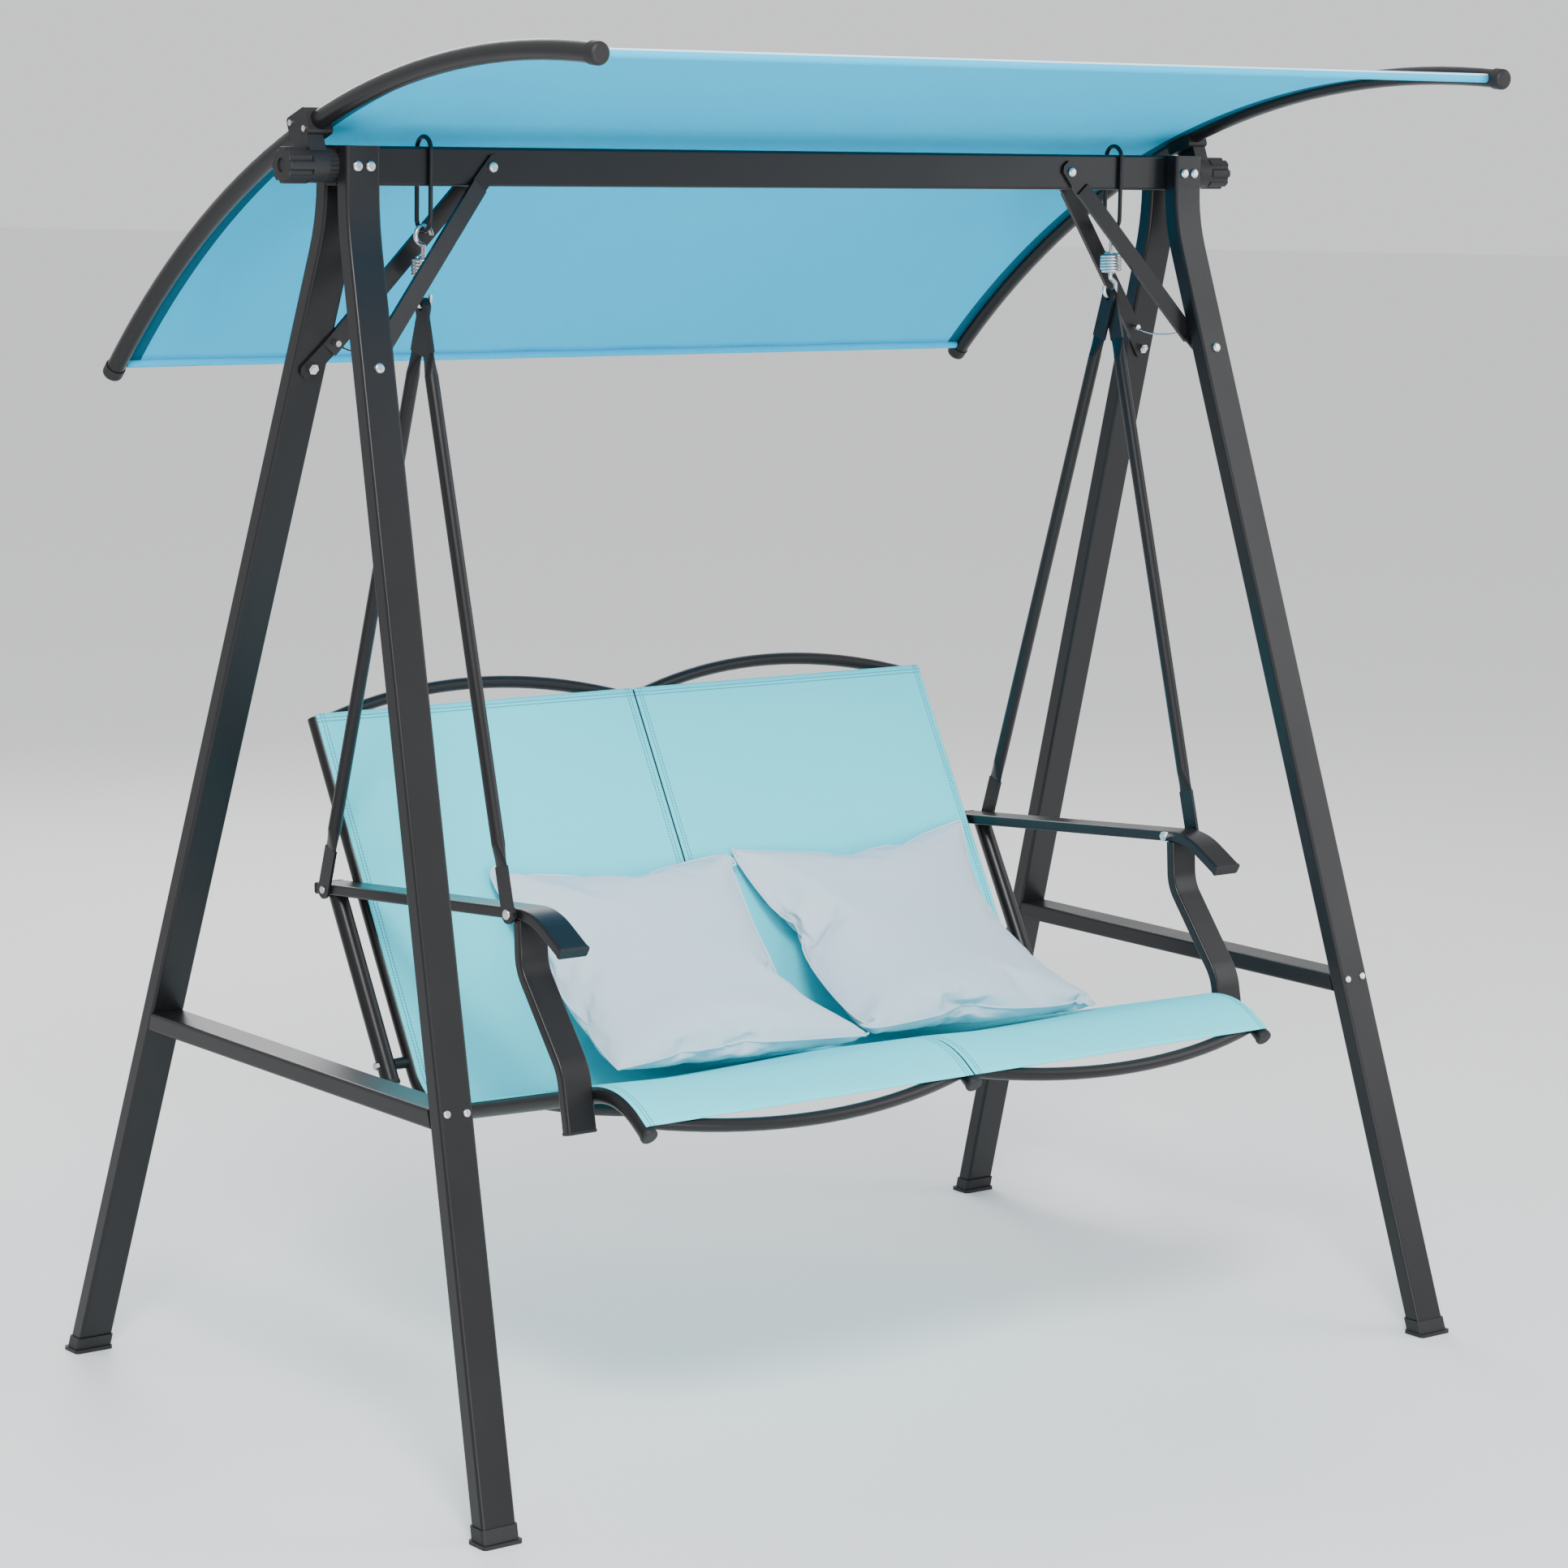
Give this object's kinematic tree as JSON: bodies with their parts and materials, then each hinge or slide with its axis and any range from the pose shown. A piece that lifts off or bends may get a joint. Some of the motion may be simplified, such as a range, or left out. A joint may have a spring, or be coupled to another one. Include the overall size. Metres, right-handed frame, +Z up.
{
  "type": "canopy_swing",
  "caption": "Two-seat porch swing with a tilting canopy, sling seat and loose pillows, hung from springs on a splayed steel stand",
  "frame": {"origin": "on the floor, in the middle of the whole swing seen from above; the beam and the middle of the four feet are 35 mm behind it, because the canopy reaches further out in front", "axes": "+Z up, -Y is the open front the sitter faces, +X is to the right seen from the front, along the beam"},
  "size_m": [1.677, 1.1469, 1.8005],
  "materials": {
    "black_frame": "satin black powder coat",
    "black_plastic": "moulded matte black",
    "bright_steel": "zinc plated",
    "canopy_cloth": "woven polyester, bright cyan",
    "sling_cloth": "woven sling cloth, pale cyan",
    "pillow_cloth": "soft satin weave, pale blue white"
  },
  "bodies": {
    "stand": {"crossbeam": "black_frame", "front_left_leg": "black_frame", "front_right_leg": "black_frame", "back_left_leg": "black_frame", "back_right_leg": "black_frame", "front_left_brace": "black_frame", "front_right_brace": "black_frame", "back_left_brace": "black_frame", "back_right_brace": "black_frame", "left_side_bar": "black_frame", "right_side_bar": "black_frame", "side_bar_end_plates": "black_frame", "feet": "black_plastic", "tilt_hubs": "black_plastic", "tie_wires": "bright_steel", "beam_bolts": "bright_steel", "side_bar_bolts": "bright_steel", "brace_bolts": "bright_steel", "hanging_loops": "black_frame"},
    "chair": {"spacers": "black_frame", "left_side_rail": "black_frame", "right_side_rail": "black_frame", "left_armrest": "black_frame", "right_armrest": "black_frame", "left_arm_upright": "black_frame", "right_arm_upright": "black_frame", "left_arm_post": "black_frame", "right_arm_post": "black_frame", "left_front_hanger": "black_frame", "right_front_hanger": "black_frame", "left_back_hanger": "black_frame", "right_back_hanger": "black_frame", "middle_rail": "black_frame", "back_arches": "black_frame", "front_arches": "black_frame", "seat_arches": "black_frame", "left_back_sling": "sling_cloth", "right_back_sling": "sling_cloth", "left_seat_sling": "sling_cloth", "right_seat_sling": "sling_cloth", "end_plugs": "black_plastic", "chair_bolts": "bright_steel", "left_pillow": "pillow_cloth", "right_pillow": "pillow_cloth"},
    "canopy": {"left_canopy_tube": "black_frame", "right_canopy_tube": "black_frame", "hem_rods": "black_frame", "canopy_tube_caps": "black_plastic", "left_canopy_bracket": "black_plastic", "right_canopy_bracket": "black_plastic", "canopy_fabric": "canopy_cloth", "clamp_screws": "bright_steel"},
    "left_knob": {"left_knob": "black_plastic"},
    "right_knob": {"right_knob": "black_plastic"},
    "upper_hooks": {"left_upper_hook": "bright_steel", "right_upper_hook": "bright_steel", "left_spring": "bright_steel", "right_spring": "bright_steel"},
    "lower_hooks": {"left_lower_hook": "bright_steel", "right_lower_hook": "bright_steel"}
  },
  "joints": [
    {"name": "canopy_tilt", "type": "hinge", "parent": "stand", "child": "canopy", "pos_m": [0, 0.03486, 1.645], "axis": [1, 0, 0], "range_deg": [-20, 45]},
    {"name": "left_knob_turn", "type": "hinge", "parent": "stand", "child": "left_knob", "pos_m": [-0.787, 0.03486, 1.645], "axis": [1, 0, 0], "continuous": true},
    {"name": "right_knob_turn", "type": "hinge", "parent": "stand", "child": "right_knob", "pos_m": [0.787, 0.03486, 1.645], "axis": [1, 0, 0], "continuous": true},
    {"name": "swing", "type": "hinge", "parent": "stand", "child": "upper_hooks", "pos_m": [0, 0.03486, 1.5695], "axis": [1, 0, 0], "range_deg": [-15, 15]},
    {"name": "bounce", "type": "slide", "parent": "upper_hooks", "child": "lower_hooks", "axis": [0, 0, -1], "range_m": [0, 0.015], "stiffness_N_per_m": 80000, "springref_m": -0.003, "deforming": ["left_spring", "right_spring"]},
    {"name": "chair_rock", "type": "hinge", "parent": "lower_hooks", "child": "chair", "pos_m": [0, 0.03486, 1.466], "axis": [1, 0, 0], "range_deg": [-8, 8]}
  ]
}
